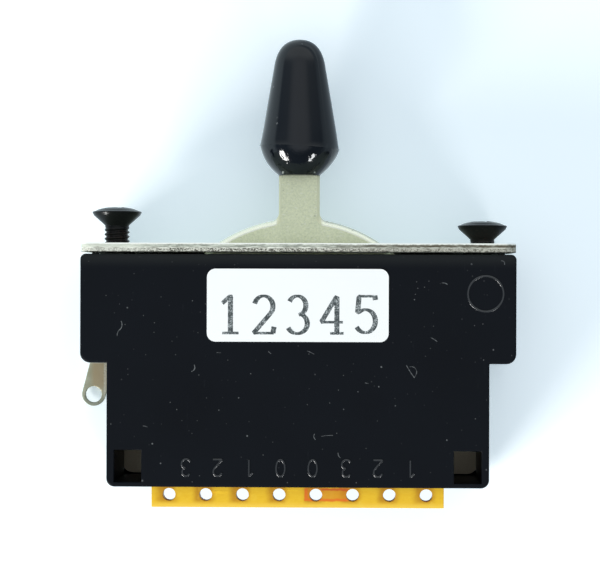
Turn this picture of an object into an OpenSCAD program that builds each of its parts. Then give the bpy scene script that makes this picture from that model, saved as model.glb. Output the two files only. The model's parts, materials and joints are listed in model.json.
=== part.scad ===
// Five-position lever selector switch for an electric guitar.
// X runs along the mounting plate, Y from front to back and Z up along the lever.
// The origin is the centre of the mounting plate's top face. All sizes are in millimetres.

/* [Frame] */
// Distance between the two mounting screws
screw_pitch = 41.3; // [41:0.1:42.4]
// Depth of the switch, from its front face to the back of the frame
depth = 12; // [11.4:0.1:14]
// Thickness of the frame's steel sheet
sheet_t = 1; // [0.8:0.05:1.2]
// Corner radius of the mounting plate
plate_corner_r = 1.3; // [0.6:0.1:2.4]
// Inside radius of the fold between the two plates
bend_r = 0.5; // [0.3:0.1:1]
// Corner radius at the foot of the back plate
back_corner_r = 1.2; // [0.4:0.1:2]
// Outside radius of the collar drawn round each threaded hole
collar_r = 2; // [1.8:0.05:2.4]
// Height of that collar below the plate
collar_h = 0.8; // [0.4:0.1:1.2]

/* [Ground lug] */
// Thickness of the ground lug
lug_t = 0.6; // [0.4:0.05:0.8]
// Hole in the ground lug
lug_hole_d = 1.86; // [1.4:0.02:2.2]
// Width of the metal round that hole
lug_rim = 0.43; // [0.35:0.01:0.8]
// Distance of the hole outside the housing's side wall
lug_out = 2.85; // [2.3:0.05:3.2]
// Drop of the hole below the ear's underside
lug_drop = 4.1; // [3:0.1:6]
// Radius of the lug round its rivet
lug_root_r = 1.6; // [1.3:0.1:1.8]
// Radius of the rivet's shank
lug_rivet_r = 0.6; // [0.5:0.05:0.75]

/* [Lever] */
// Room between the sweep of the lever's arc and a mounting screw's axis
arc_gap = 4.25; // [3.6:0.05:5]
// Height of the lever's arc, which closes the slot, above the mounting face
arc_rise = 2.9; // [2.3:0.1:3.5]
// Thickness of the lever's steel sheet
lever_t = 1.2; // [1:0.05:1.4]
// Width of the lever's blade
blade_w = 4.65; // [4:0.05:5]
// Fillet between the blade and the arc
blade_fillet = 0.9; // [0.4:0.1:1.6]
// Height of the blade's shoulder, where the tip sits, above the mounting face
shoulder_h = 7.7; // [6:0.1:10]
// Width of the tang inside the tip
tang_w = 3.4; // [3:0.1:3.8]
// Length of that tang
tang_len = 9; // [6:0.5:11]
// Angle between two neighbouring positions of the lever
step_deg = 13; // [11:0.5:14]

/* [Lever tip] */
// Height of the tip
tip_h = 15.4; // [14:0.1:18]
// Radius of the tip at its belly
tip_belly_r = 4.45; // [4:0.05:4.8]
// Height of the belly above the tip's foot
tip_belly_h = 3.2; // [3:0.1:4.2]
// Radius of the tip at its foot
tip_foot_r = 2.45; // [2.4:0.05:2.8]
// Radius of the tip where its dome begins
tip_dome_r = 2.84; // [2.6:0.02:3.2]
// Height of the dome
tip_dome_h = 2.7; // [2.2:0.1:3.5]
// Height of the moulding ridge that runs round the belly
tip_ridge = 0.11; // [0.05:0.01:0.2]

/* [Pivot] */
// Radius of the stud's journal
journal_r = 2.4; // [2.1:0.05:2.6]
// Radius of the stud's spacer flange
flange_r = 3.6; // [3.2:0.1:4.2]
// Radius of the stud's riveted neck
neck_r = 1.6; // [1.2:0.05:2]
// Radius of the riveted head at the back
rivet_r = 2.6; // [2.2:0.1:3.2]
// Height of the riveted head
rivet_h = 0.55; // [0.3:0.05:0.8]
// Thickness of each pivot washer
washer_t = 0.25; // [0.2:0.05:0.4]
// Thickness of the retaining clip
clip_t = 0.4; // [0.3:0.05:0.5]

/* [Contact carrier] */
// Room between the contact carrier's plate and the copper on the board
wiper_room = 1.1; // [0.9:0.05:1.3]
// Half angle of the carrier's fan
carrier_half_deg = 53; // [48:1:58]
// Angle of each wiper from straight down
pole_deg = 38; // [36:0.5:40]
// Thickness of the wipers' spring sheet
wiper_t = 0.25; // [0.15:0.05:0.3]
// Width of a wiper
wiper_w = 2.2; // [1.8:0.1:2.6]

/* [Detent] */
// Distance from the ball's centre to the end of the lever's tail
tail_r = 3.1; // [2.9:0.05:3.4]
// Wall of the barrel that holds the ball
barrel_wall = 0.75; // [0.5:0.05:0.9]
// Wire diameter of the detent spring
spring_wire_d = 0.3; // [0.2:0.02:0.36]
// Turns of the detent spring
spring_turns = 6; // [4:1:7]

/* [Housing] */
// How far the housing's side stands outside a mounting screw's axis
body_out = 0.5; // [0.3:0.05:0.8]
// Drop of the ears' underside below the mounting face
ear_drop = 13.3; // [12.4:0.1:15]
// Gap between the mounting plate and the housing's top edge
top_gap = 0.22; // [0.1:0.02:0.4]
// Wall of the housing
wall = 1.1; // [0.9:0.05:1.3]
// Wall of the housing's rim round the back plate
rim_t = 0.6; // [0.45:0.05:0.8]
// Rounding of the front edges
edge_r = 0.4; // [0.2:0.05:0.6]
// Radius of the ears' lower corners
ear_corner_r = 1.1; // [0.7:0.1:1.6]
// Radius of the ears' upper corners
ear_top_r = 0.6; // [0.5:0.1:1]
// Radius of the housing's lower corners
body_corner_r = 0.9; // [0.7:0.1:1.4]
// Width of the two corner windows
window_w = 3.05; // [2.6:0.05:3.2]
// Height of the two corner windows
window_h = 3.6; // [3:0.1:4.2]
// Web of plastic below each window
window_web = 0.5; // [0.4:0.05:0.8]

/* [Contact board] */
// Room between the end of the contact board and the wall of a screw well
board_gap = 0.6; // [0.4:0.05:1]
// Thickness of the contact board
board_t = 1.5; // [1.2:0.1:1.6]
// How far the board stands out below the housing
board_out = 2.3; // [2.1:0.1:4]
// How far the board reaches above the pivot
board_above = 4; // [3.5:0.1:6]
// Distance of the outermost solder holes from the board's ends
terminal_side = 1.955; // [1.6:0.005:2.4]
// Diameter of the solder holes
terminal_d = 1.4; // [1:0.05:1.5]
// Distance of the solder holes from the board's lower edge
terminal_rise = 1.4; // [1.1:0.05:1.5]
// Thickness of the copper on the board
copper_t = 0.1; // [0.05:0.01:0.15]

/* [Label] */
// Width of the label
label_w = 20.05; // [16:0.05:24]
// Height of the label
label_h = 8.05; // [6:0.05:10]
// Drop of the label's top edge below the mounting face
label_drop = 2.85; // [2:0.05:5]
// Corner radius of the label
label_r = 0.95; // [0.4:0.05:2]
// Thickness of the label
label_t = 0.1; // [0.05:0.01:0.15]

/* [Mounting screws] */
// Radius of a screw's thread
screw_r = 1.45; // [1.3:0.01:1.5]
// Length of a screw below the rim of its head
screw_len = 10; // [8:0.5:12]
// Radius of a screw's head
screw_head_r = 2.75; // [2.5:0.05:3]
// Height of the head's raised crown
screw_crown = 0.6; // [0.4:0.05:0.8]
// Height of the head's rim above the mounting face on the left
left_rise = 3.55; // [2:0.05:5]
// Height of the head's rim above the mounting face on the right
right_rise = 2.05; // [1.6:0.05:5]

/* [Hidden] */
$fn = 96;

// Clearances
fit = 0.05;
run = 0.05;
swing = 0.4;
over = 1;

// Driving distances from the mounting screws inwards
screw_x = screw_pitch / 2;
arc_r = screw_x - arc_gap;
pivot_drop = arc_r - arc_rise;
body_drop = 2 * pivot_drop;
body_w = screw_pitch + 2 * body_out;
collar_gap = 0.35;
plate_len = screw_pitch + 2 * (collar_r + collar_gap + wall);

// Planes across the depth
front_y = -depth / 2;
back_y = depth / 2;
back_in_y = back_y - sheet_t;
wall_in_y = front_y + wall;
board_back_y = wall_in_y + board_t;
copper_y = board_back_y + copper_t;
lever_front_y = -lever_t / 2;
lever_back_y = lever_t / 2;
carrier_y = copper_y + wiper_room;
front_washer_y = carrier_y - run - washer_t;
clip_y = front_washer_y - run - clip_t;
flange_y = lever_back_y + washer_t + 2 * run;

// Frame
back_w = body_w - 2 * (rim_t + fit);
back_drop = body_drop - rim_t - fit;
bend_out_r = bend_r + sheet_t;
relief_w = 0.8;
thread_gap = 0.05;
slot_half = sqrt(arc_r ^ 2 - (pivot_drop - sheet_t) ^ 2) + swing;
slot_gap = 0.25;

// Ground lug
lug_x = -(body_w / 2 + lug_out);
lug_z = -(ear_drop + lug_drop);
lug_r = lug_hole_d / 2 + lug_rim;
lug_rivet_head_r = lug_rivet_r + 0.35;
lug_rivet_head_h = 0.35;
lug_rivet_rise = 2.8;
lug_rivet_x = -(screw_x + collar_r + collar_gap - lug_rivet_head_r - 2 * fit);
lug_rivet_z = -(ear_drop - lug_rivet_rise);
lug_arm_h = 3.4;

// Lever
positions = 5;
throw_deg = step_deg * (positions - 1) / 2;
arc_clear_deg = acos((pivot_drop - sheet_t - run) / arc_r);
arc_half_deg = arc_clear_deg + throw_deg + 1;
hub_wall = 2.8;
hub_r = journal_r + hub_wall;
bore_r = journal_r + run;
washer_r = flange_r;
floor_t = 1;
tail_gap = 0.8;
tail_reach = body_drop - pivot_drop - floor_t - tail_gap;

// Lever tip
tip_foot_round = 0.15;
tip_bowl_in = 0.4;
tip_bowl_share = 0.45;
tip_ridge_h = 0.12;
tip_body_swell = 0.02;
tip_dome_share = 0.81;

// Detent: the ball is as wide as the pitch of its holes
detent_r = tail_reach - tail_r;
ball_d = 2 * detent_r * sin(step_deg / 2);
ball_r = ball_d / 2;
detent_depth = ball_d / 8;
barrel_bore_r = ball_r + run;
barrel_r = barrel_bore_r + barrel_wall;
ball_travel = run + detent_depth;
ball_y = back_in_y - run - ball_r;
barrel_end_y = back_in_y - 0.4;
barrel_floor = 0.8;
barrel_floor_y = carrier_y + barrel_floor;
detent_hole_r = sqrt(ball_r ^ 2 - (ball_r - detent_depth) ^ 2) + fit;
spring_r = barrel_bore_r - spring_wire_d / 2 - fit;

// Contacts, as distances from the pivot
throw_r = tail_reach - 1;
common_r = 0.645 * throw_r;
carrier_r = throw_r - 0.5;
ring_w = 1.4;
wiper_spring = 1.1;
wiper_base_r = [common_r + wiper_spring, throw_r - wiper_spring];
wiper_tip = 0.4;
wiper_lift = 0.3;
wiper_slit = 0.4;
peg_r = 0.3 * (wiper_base_r[1] - wiper_base_r[0]);
peg_head_r = 0.47 * (wiper_base_r[1] - wiper_base_r[0]);
peg_head_h = 0.35;
ring_margin_deg = 5;
ring_half_deg = throw_deg + ring_margin_deg;
ring_gap_deg = 0.7;
track_w = 0.9;
common_track_w = 0.55;
common_track_x = 0.55;
solder_pad = [2.4, 2.1];

// Housing
body_half = body_w / 2;
ear_half = plate_len / 2;
top_z = -(sheet_t + top_gap);
partition = 0.8;
partition_x = arc_r + swing;
well_x = partition_x + partition;
window_x = body_half - (rim_t + fit + 0.2) - window_w;
window_z = -(body_drop - window_web);
standoff = [0.7, 0.8];
standoff_x = screw_x + 1.45;
hook_inset = 0.35;
hook_bite = 0.6;
hook_h = 0.65;
catch_z = [-7, -4.2];
catch_bite = 0.35;
stake_r = 1;
stake_head_r = 1.5;
stake_head_h = 0.5;

// Contact board
board_w = 2 * (partition_x - board_gap);
board_z = [-(body_drop + board_out), -(pivot_drop - board_above)];
terminals = 8;
terminal_z = board_z[0] + terminal_rise;
terminal_pitch = (board_w - 2 * terminal_side) / (terminals - 1);
stake_x = board_w / 2 - 2 * stake_head_r;
stake_z = board_z[1] - 1.7 * stake_head_r;
clip_r = journal_r + 1;
peened = 0.8;
clip_groove_r = journal_r - 0.75;
board_pivot_r = clip_r + 0.5;

// Mounting screws
cross_w = 0.7;
cross_len = 3;
cross_depth = 1.3;
screw_lip = 0.12;
screw_cone = screw_head_r - screw_r;
screw_point = 0.5;

// A flat outline in X and Z, made solid from y0 to y1
module slab(y0, y1) {
    translate([0, y1, 0]) rotate([90, 0, 0]) linear_extrude(y1 - y0) children();
}

// A flat outline in Y and Z, made solid from x0 to x1
module along_x(x0, x1) {
    translate([x0, 0, 0]) rotate([90, 0, 90]) linear_extrude(x1 - x0) children();
}

// A box between two corners
module box(low, high) {
    translate(low) cube(high - low);
}

// A rod along Y about the pivot's axis
module pivot_rod(r, y0, y1) {
    translate([0, 0, -pivot_drop]) slab(y0, y1) circle(r);
}

// A round along Y that tapers from radius r0 at y0 to r1 at y1
module taper(r0, r1, y0, y1) {
    translate([0, y0, 0]) rotate([-90, 0, 0]) cylinder(h = y1 - y0, r1 = r0, r2 = r1);
}

// Turns a solid that is drawn straight below the pivot towards +X
module about_pivot(angle) {
    translate([0, 0, -pivot_drop]) rotate([0, -angle, 0]) children();
}

// A rectangle between two corners with its lower and upper corners rounded by their own radii
module rounded_outline(low, high, low_r, high_r) {
    for (side = [0, 1]) {
        x = side == 0 ? low[0] : high[0];
        in = side == 0 ? 1 : -1;
        translate([x + in * low_r, low[1] + low_r]) circle(low_r);
        translate([x + in * high_r, high[1] - high_r]) circle(high_r);
    }
    widest = max(low_r, high_r);
    translate([low[0] + low_r, low[1]]) square([high[0] - low[0] - 2 * low_r, widest]);
    translate([low[0] + high_r, high[1] - widest]) square([high[0] - low[0] - 2 * high_r, widest]);
    translate([low[0], low[1] + low_r]) square([high[0] - low[0], high[1] - low[1] - low_r - high_r]);
}

// Sector of a disc about the pivot, between two angles from straight down
module wedge(r, from, to) {
    parts = 8;
    points = [for (i = [0:parts]) let (a = from + (to - from) * i / parts) r * [sin(a), -cos(a)]];
    translate([0, -pivot_drop]) polygon(concat([[0, 0]], points));
}

// Part of a ring about the pivot, between two angles from straight down
module ring_part(r, width, from, to) {
    intersection() {
        translate([0, -pivot_drop]) difference() {
            circle(r + width / 2);
            circle(r - width / 2);
        }
        wedge(2 * r, from, to);
    }
}

// Straight strip of a given width from point p to point q
module strip(p, q, width) {
    along = (q - p) / norm(q - p);
    across = [-along[1], along[0]] * width / 2;
    polygon([p - across, q - across, q + across, p + across]);
}

function below_pivot(r, angle) = [r * sin(angle), -pivot_drop - r * cos(angle)];
function terminal_x(i) = (i - (terminals - 1) / 2) * terminal_pitch;
function bezier(p, q, r, parts) =
    [for (i = [0:parts]) let (t = i / parts) (1 - t) ^ 2 * p + 2 * t * (1 - t) * q + t ^ 2 * r];

// One folded stamping: mounting plate, back plate and the arm for the ground lug
module mounting_frame() {
    color([0.74, 0.76, 0.70]) difference() {
        union() {
            mounting_plate();
            along_x(-back_w / 2, back_w / 2) fold_outline();
            slab(back_in_y, back_y) back_outline();
            for (side = [-1, 1]) translate([side * screw_x, 0, -sheet_t - collar_h])
                cylinder(r = collar_r, h = collar_h + sheet_t / 2);
        }
        for (side = [-1, 1]) translate([side * screw_x, 0, -over - collar_h - sheet_t])
            cylinder(r = screw_r + thread_gap, h = 2 * over + collar_h + sheet_t);
    }
}

module mounting_plate() {
    translate([0, 0, -sheet_t]) linear_extrude(sheet_t) difference() {
        rounded_outline([-plate_len / 2, front_y], [plate_len / 2, back_y], plate_corner_r, plate_corner_r);
        translate([-back_w / 2 - relief_w, back_y - bend_out_r])
            square([back_w + 2 * relief_w, bend_out_r + over]);
        translate([-slot_half, -lever_t / 2 - slot_gap]) square([2 * slot_half, lever_t + 2 * slot_gap]);
    }
}

// Quarter ring of the fold, in Y and Z
module fold_outline() {
    translate([back_y - bend_out_r, -bend_out_r]) intersection() {
        difference() {
            circle(bend_out_r);
            circle(bend_r);
        }
        square(bend_out_r);
    }
}

// Back plate and arm, with the rivet holes, the detent holes and the slots for the catches
module back_outline() {
    difference() {
        union() {
            rounded_outline([-back_w / 2, -back_drop], [back_w / 2, -bend_out_r], back_corner_r, 0.01);
            translate([-(ear_half - wall - fit), -(ear_drop - wall - fit)])
                square([ear_half - wall - back_w / 2 + over, lug_arm_h]);
        }
        translate([0, -pivot_drop]) circle(neck_r);
        translate([lug_rivet_x, lug_rivet_z]) circle(lug_rivet_r);
        for (i = [0:positions - 1]) translate(below_pivot(detent_r, i * step_deg - throw_deg))
            circle(detent_hole_r);
        for (side = [-1, 1]) translate([side * (partition_x + partition / 2), 0])
            translate([-partition / 2 - catch_bite - fit, catch_z[0] - fit])
                square([partition + 2 * (catch_bite + fit), catch_z[1] - catch_z[0] + 2 * fit]);
    }
}

// Solder tag on the back of the frame's arm: a round root, a tapered shank and a round eye
module ground_lug() {
    root = [lug_rivet_x, lug_rivet_z];
    eye = [lug_x, lug_z];
    along = (eye - root) / norm(eye - root);
    across = [-along[1], along[0]];
    color([0.53, 0.50, 0.43]) slab(back_y, back_y + lug_t) difference() {
        union() {
            translate(root) circle(lug_root_r);
            polygon([root - across * lug_root_r, eye - across * lug_r,
                     eye + across * lug_r, root + across * lug_root_r]);
            translate(eye) circle(lug_r);
        }
        translate(root) circle(lug_rivet_r);
        translate(eye) circle(lug_hole_d / 2);
    }
}

// Rivet through the lug and the frame's arm, with a flat head inside and a tapered one outside
module lug_rivet() {
    color([0.66, 0.65, 0.60]) translate([lug_rivet_x, 0, lug_rivet_z]) {
        slab(back_in_y, back_y + lug_t) circle(lug_rivet_r);
        slab(back_in_y - lug_rivet_head_h, back_in_y) circle(lug_rivet_head_r);
        taper(lug_rivet_head_r, lug_rivet_head_r * peened, back_y + lug_t, back_y + lug_t + lug_rivet_head_h);
    }
}

// Turned stud, riveted into the back plate, with a spacer flange, a journal and a groove for the clip
module pivot_stud() {
    color([0.70, 0.71, 0.70]) {
        pivot_rod(rivet_r, back_y, back_y + rivet_h / 2);
        translate([0, 0, -pivot_drop])
            taper(rivet_r, rivet_r * peened, back_y + rivet_h / 2, back_y + rivet_h);
        pivot_rod(neck_r, back_in_y, back_y);
        pivot_rod(flange_r, flange_y, back_in_y);
        pivot_rod(journal_r, clip_y + clip_t + run, flange_y);
        pivot_rod(clip_groove_r, clip_y - run, clip_y + clip_t + run);
        pivot_rod(journal_r - 0.2, clip_y - run - 0.2, clip_y - run);
    }
}

module washer(y0) {
    translate([0, 0, -pivot_drop]) slab(y0, y0 + washer_t) difference() {
        circle(washer_r);
        circle(bore_r);
    }
}

module rear_washer() {
    color([0.85, 0.80, 0.66]) washer(lever_back_y + run);
}

module front_washer() {
    color([0.85, 0.80, 0.66]) washer(front_washer_y);
}

// Open spring clip that snaps into the stud's groove
module retaining_clip() {
    gape = clip_groove_r * 1.7;
    color([0.35, 0.35, 0.36]) translate([0, 0, -pivot_drop]) slab(clip_y, clip_y + clip_t) difference() {
        circle(clip_r);
        circle(clip_groove_r + run);
        translate([-gape / 2, 0]) square([gape, clip_r + over]);
    }
}

// Stamped lever: tang, blade, closing arc, hub and a tail bored for the detent barrel
module lever() {
    color([0.74, 0.77, 0.68]) slab(lever_front_y, lever_back_y) difference() {
        union() {
            intersection() {
                translate([0, -pivot_drop]) circle(arc_r);
                wedge(2 * arc_r, 180 - arc_half_deg, 180 + arc_half_deg);
            }
            translate([-blade_w / 2, 0]) square([blade_w, shoulder_h]);
            translate([-tang_w / 2, shoulder_h - over]) square([tang_w, tang_len + over]);
            for (side = [0, 1]) mirror([side, 0]) blade_fillet_outline();
            translate([0, -pivot_drop]) circle(hub_r);
            translate([-tail_r, -pivot_drop - detent_r]) square([2 * tail_r, detent_r]);
            translate(below_pivot(detent_r, 0)) circle(tail_r);
        }
        translate([0, -pivot_drop]) circle(bore_r);
        translate(below_pivot(detent_r, 0)) circle(barrel_r + fit);
    }
}

// Corner filled between the blade's side and the arc, tangent to both
module blade_fillet_outline() {
    x = blade_w / 2 + blade_fillet;
    z = -pivot_drop + sqrt((arc_r + blade_fillet) ^ 2 - x ^ 2);
    foot = [0, -pivot_drop] + [x, z + pivot_drop] * arc_r / (arc_r + blade_fillet);
    difference() {
        polygon([[0, foot[1] - over], foot, [x, z], [0, z]]);
        translate([x, z]) circle(blade_fillet);
    }
}

// Moulded tip: bowl, tapered body and dome, turned about the lever's axis, with a slot for the tang
module lever_tip() {
    shoulder = tip_h - tip_dome_h;
    bowl = bezier([tip_foot_r, tip_foot_round], [tip_belly_r - tip_bowl_in, tip_bowl_share * tip_belly_h],
                  [tip_belly_r, tip_belly_h - tip_ridge_h / 2], 8);
    crest = [tip_belly_r + tip_ridge, tip_belly_h];
    start = [tip_belly_r, tip_belly_h + tip_ridge_h / 2];
    waist = [(tip_belly_r + tip_dome_r) / 2 + tip_body_swell, (tip_belly_h + shoulder) / 2];
    body = bezier(start, waist, [tip_dome_r, shoulder], 6);
    dome = bezier([tip_dome_r, shoulder], [tip_dome_share * tip_dome_r, tip_h], [0, tip_h], 10);
    foot = [[0, 0], [tip_foot_r - tip_foot_round, 0]];
    profile = concat(foot, bowl, [crest], body, [for (i = [1:10]) dome[i]]);
    color([0.09, 0.10, 0.11]) translate([0, 0, shoulder_h]) difference() {
        rotate_extrude() polygon(profile);
        box([-tang_w / 2 - fit, -lever_t / 2 - fit, -over],
            [tang_w / 2 + fit, lever_t / 2 + fit, tang_len + fit]);
    }
}

// Moulded fan that turns with the lever, holds the wipers and carries the detent barrel
module contact_carrier() {
    color([0.88, 0.87, 0.82]) difference() {
        union() {
            slab(carrier_y, lever_front_y) {
                intersection() {
                    translate([0, -pivot_drop]) circle(carrier_r);
                    wedge(2 * carrier_r, -carrier_half_deg, carrier_half_deg);
                }
                translate([0, -pivot_drop]) circle(hub_r);
                translate(below_pivot(detent_r, 0)) circle(barrel_r);
            }
            slab(carrier_y, barrel_end_y) translate(below_pivot(detent_r, 0)) circle(barrel_r);
            for (side = [-1, 1]) {
                peg = below_pivot((wiper_base_r[0] + wiper_base_r[1]) / 2, side * pole_deg);
                slab(carrier_y - wiper_t, carrier_y) translate(peg) circle(peg_r);
                slab(carrier_y - wiper_t - peg_head_h, carrier_y - wiper_t) translate(peg) circle(peg_head_r);
            }
        }
        pivot_rod(bore_r, carrier_y - over, lever_front_y + over);
        slab(barrel_floor_y, barrel_end_y + over) translate(below_pivot(detent_r, 0)) circle(barrel_bore_r);
    }
}

// Bridging contact: a flat base staked to the carrier and two slit fingers bent towards the board
module wiper(angle) {
    reach = [common_r, throw_r];
    foot_y = copper_y + run + wiper_t;
    back_side = [[reach[0] - wiper_tip, foot_y + wiper_lift], [reach[0], foot_y],
                 [wiper_base_r[0], carrier_y], [wiper_base_r[1], carrier_y],
                 [reach[1], foot_y], [reach[1] + wiper_tip, foot_y + wiper_lift]];
    front_side = [for (i = [5:-1:0]) back_side[i] - [0, wiper_t]];
    peg = (wiper_base_r[0] + wiper_base_r[1]) / 2;
    color([0.80, 0.58, 0.32]) about_pivot(angle) difference() {
        rotate([0, 90, 0]) translate([0, 0, -wiper_w / 2]) linear_extrude(wiper_w)
            polygon(concat(back_side, front_side));
        box([-wiper_slit / 2, copper_y, -wiper_base_r[0]], [wiper_slit / 2, carrier_y + over, 0]);
        box([-wiper_slit / 2, copper_y, -throw_r - over],
            [wiper_slit / 2, carrier_y + over, -wiper_base_r[1]]);
        translate([0, 0, -peg]) slab(carrier_y - over, carrier_y + over) circle(peg_r + fit);
    }
}

module left_wiper() {
    wiper(-pole_deg);
}

module right_wiper() {
    wiper(pole_deg);
}

// Coil spring behind the ball, one closed tube swept along a helix
module detent_spring() {
    sides = 8;
    rings_per_turn = 12;
    rings = spring_turns * rings_per_turn;
    low = barrel_floor_y + spring_wire_d / 2 + fit;
    high = ball_y - ball_r * cos(asin(spring_r / ball_r * 0.9)) - spring_wire_d / 2 - fit;
    points = [for (i = [0:rings], j = [0:sides - 1])
        let (turn = 360 * i / rings_per_turn, round = 360 * j / sides,
             r = spring_r + spring_wire_d / 2 * cos(round))
        [r * cos(turn), low + (high - low) * i / rings + spring_wire_d / 2 * sin(round), r * sin(turn)]];
    skin = [for (i = [0:rings - 1], j = [0:sides - 1])
        let (a = i * sides + j, b = i * sides + (j + 1) % sides) [a, a + sides, b + sides, b]];
    caps = [[for (j = [0:sides - 1]) j], [for (j = [sides - 1:-1:0]) rings * sides + j]];
    color([0.78, 0.78, 0.78]) translate([0, 0, -pivot_drop - detent_r])
        polyhedron(points, concat(skin, caps), convexity = 4);
}

// Steel ball, shown riding on the flat of the back plate over the middle detent hole
module detent_ball() {
    color([0.82, 0.82, 0.83]) translate([0, ball_y, -pivot_drop - detent_r]) sphere(ball_r);
}

// Block with rounded front edges, from the front face to the back
module housing_block(half_w, low_z, low_r, high_r) {
    steps = [[0, 1], [0.12, 0.3], [0.3, 0.08], [1, 0]];
    hull() for (s = steps) {
        in = s[1] * edge_r;
        slab(front_y + s[0] * edge_r, s[1] == 0 ? back_y : front_y + s[0] * edge_r + 0.01)
            rounded_outline([-half_w + in, low_z + in], [half_w - in, top_z - in],
                            low_r - in, high_r - in, $fn = 32);
    }
}

// Moulded box, open at the top and back: ears, screw wells, corner windows, hooks and catches
module housing() {
    color([0.08, 0.09, 0.10]) {
        difference() {
            union() {
                housing_block(ear_half, -ear_drop, ear_corner_r, ear_top_r);
                housing_block(body_half, -body_drop, body_corner_r, ear_top_r);
            }
            housing_cavities();
        }
        for (side = [0, 1]) mirror([side, 0, 0]) {
            corner_hook();
            catch();
            board_stake();
            box([standoff_x, front_y + edge_r, top_z - over / 2],
                [standoff_x + standoff[0], front_y + edge_r + standoff[1], -sheet_t]);
        }
    }
}

module housing_cavities() {
    floor_z = -(body_drop - floor_t);
    box([-partition_x, wall_in_y, floor_z], [partition_x, back_y + over, 0]);
    box([-board_w / 2 - 2 * fit, wall_in_y, -body_drop - over],
        [board_w / 2 + 2 * fit, copper_y + 3 * fit, floor_z + over]);
    slab(back_in_y, back_y + over)
        rounded_outline([-back_w / 2 - fit, -back_drop - fit], [back_w / 2 + fit, over], back_corner_r, 0.01);
    for (side = [0, 1]) mirror([side, 0, 0]) {
        box([well_x, wall_in_y, -(ear_drop - wall)], [ear_half - wall, back_y + over, 0]);
        box([window_x, front_y - over, window_z],
            [window_x + window_w, back_in_y + fit, window_z + window_h]);
        box([well_x, wall_in_y, window_z + window_h + wall], [body_half - wall, back_y, -(ear_drop + wall)]);
    }
}

// Snap hook under the back plate's lower corner, in line with the window in front
module corner_hook() {
    nose_z = -back_drop + hook_bite;
    along_x(window_x + hook_inset, window_x + window_w - hook_inset)
        polygon([[back_y - over, -body_drop], [back_y + hook_h, -body_drop],
                 [back_y + hook_h, -body_drop + rim_t], [back_y + 2 * fit, nose_z],
                 [back_y + fit, nose_z], [back_y + fit, -back_drop - fit],
                 [back_y - over, -back_drop - fit]]);
}

// Snap catch on the partition that passes through a slot in the back plate
module catch() {
    translate([0, 0, catch_z[0]]) linear_extrude(catch_z[1] - catch_z[0])
        polygon([[partition_x, back_in_y - over], [partition_x, back_y + hook_h],
                 [partition_x + partition * 0.6, back_y + hook_h], [well_x + catch_bite, back_y + 3 * fit],
                 [well_x + catch_bite, back_y + fit], [well_x, back_y + fit], [well_x, back_in_y - over]]);
}

// Peg through the contact board, melted over into a flat head
module board_stake() {
    translate([stake_x, 0, stake_z]) {
        slab(wall_in_y - wall / 2, board_back_y) circle(stake_r);
        slab(board_back_y, board_back_y + stake_head_h) circle(stake_head_r);
    }
}

// Laminate board with its row of solder holes below the housing
module contact_board() {
    color([0.90, 0.70, 0.20]) slab(wall_in_y, board_back_y) difference() {
        translate([-board_w / 2, board_z[0]]) square([board_w, board_z[1] - board_z[0]]);
        for (i = [0:terminals - 1]) translate([terminal_x(i), terminal_z]) circle(terminal_d / 2);
        translate([0, -pivot_drop]) circle(board_pivot_r);
        for (side = [-1, 1]) translate([side * stake_x, stake_z]) circle(stake_r + fit);
    }
}

// Four copper tracks of one pole on the board's back: the common next to the middle and three throws
module pole_tracks() {
    color([0.80, 0.50, 0.28]) slab(board_back_y, copper_y) {
        common_track();
        for (throw = [0:2]) throw_track(throw);
    }
}

module left_tracks() {
    mirror([1, 0, 0]) pole_tracks();
}

module right_tracks() {
    pole_tracks();
}

module common_track() {
    from = pole_deg - ring_half_deg;
    start = [common_track_x, -pivot_drop - common_r];
    bend = [common_track_x, -pivot_drop - throw_r - ring_w];
    difference() {
        union() {
            ring_part(common_r, ring_w, from, pole_deg + ring_half_deg);
            strip(start, bend, common_track_w);
            strip(start + [-common_track_w / 2, 0], below_pivot(common_r, from + 1), ring_w / 2);
            strip(bend, [terminal_x(terminals / 2), terminal_z], common_track_w);
            solder_land(terminals / 2);
        }
        translate([terminal_x(terminals / 2), terminal_z]) circle(terminal_d / 2);
    }
}

module throw_track(throw) {
    from = pole_deg + [-ring_half_deg, -step_deg + ring_gap_deg, step_deg + ring_gap_deg][throw];
    to = pole_deg + [-step_deg - ring_gap_deg, step_deg - ring_gap_deg, ring_half_deg][throw];
    terminal = terminals / 2 + 1 + throw;
    difference() {
        union() {
            ring_part(throw_r, ring_w, from, to);
            strip(below_pivot(throw_r, (from + to) / 2), [terminal_x(terminal), terminal_z], track_w);
            solder_land(terminal);
        }
        translate([terminal_x(terminal), terminal_z]) circle(terminal_d / 2);
    }
}

module solder_land(terminal) {
    translate([terminal_x(terminal) - solder_pad[0] / 2, terminal_z - solder_pad[1] / 2]) square(solder_pad);
}

// Plain paper label on the front face
module label() {
    color([0.96, 0.97, 0.97]) slab(front_y - label_t, front_y)
        rounded_outline([-label_w / 2, -label_drop - label_h], [label_w / 2, -label_drop], label_r, label_r);
}

// Raised countersunk screw with a cross recess, standing with its head's rim at a given height
module screw(x, rise) {
    crown = bezier([screw_head_r, 0], [screw_head_r * 0.6, screw_crown], [0, screw_crown], 8);
    profile = concat([[0, -screw_len], [screw_r - screw_point, -screw_len],
                      [screw_r, -screw_len + screw_point], [screw_r, -screw_lip - screw_cone],
                      [screw_head_r, -screw_lip]], crown);
    color([0.10, 0.10, 0.10]) translate([x, 0, rise]) difference() {
        rotate_extrude() polygon(profile);
        for (turn = [0, 90]) rotate([0, 0, turn + 30])
            box([-cross_len / 2, -cross_w / 2, screw_crown - cross_depth],
                [cross_len / 2, cross_w / 2, screw_crown + over]);
    }
}

module left_screw() {
    screw(-screw_x, left_rise);
}

module right_screw() {
    screw(screw_x, right_rise);
}

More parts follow.
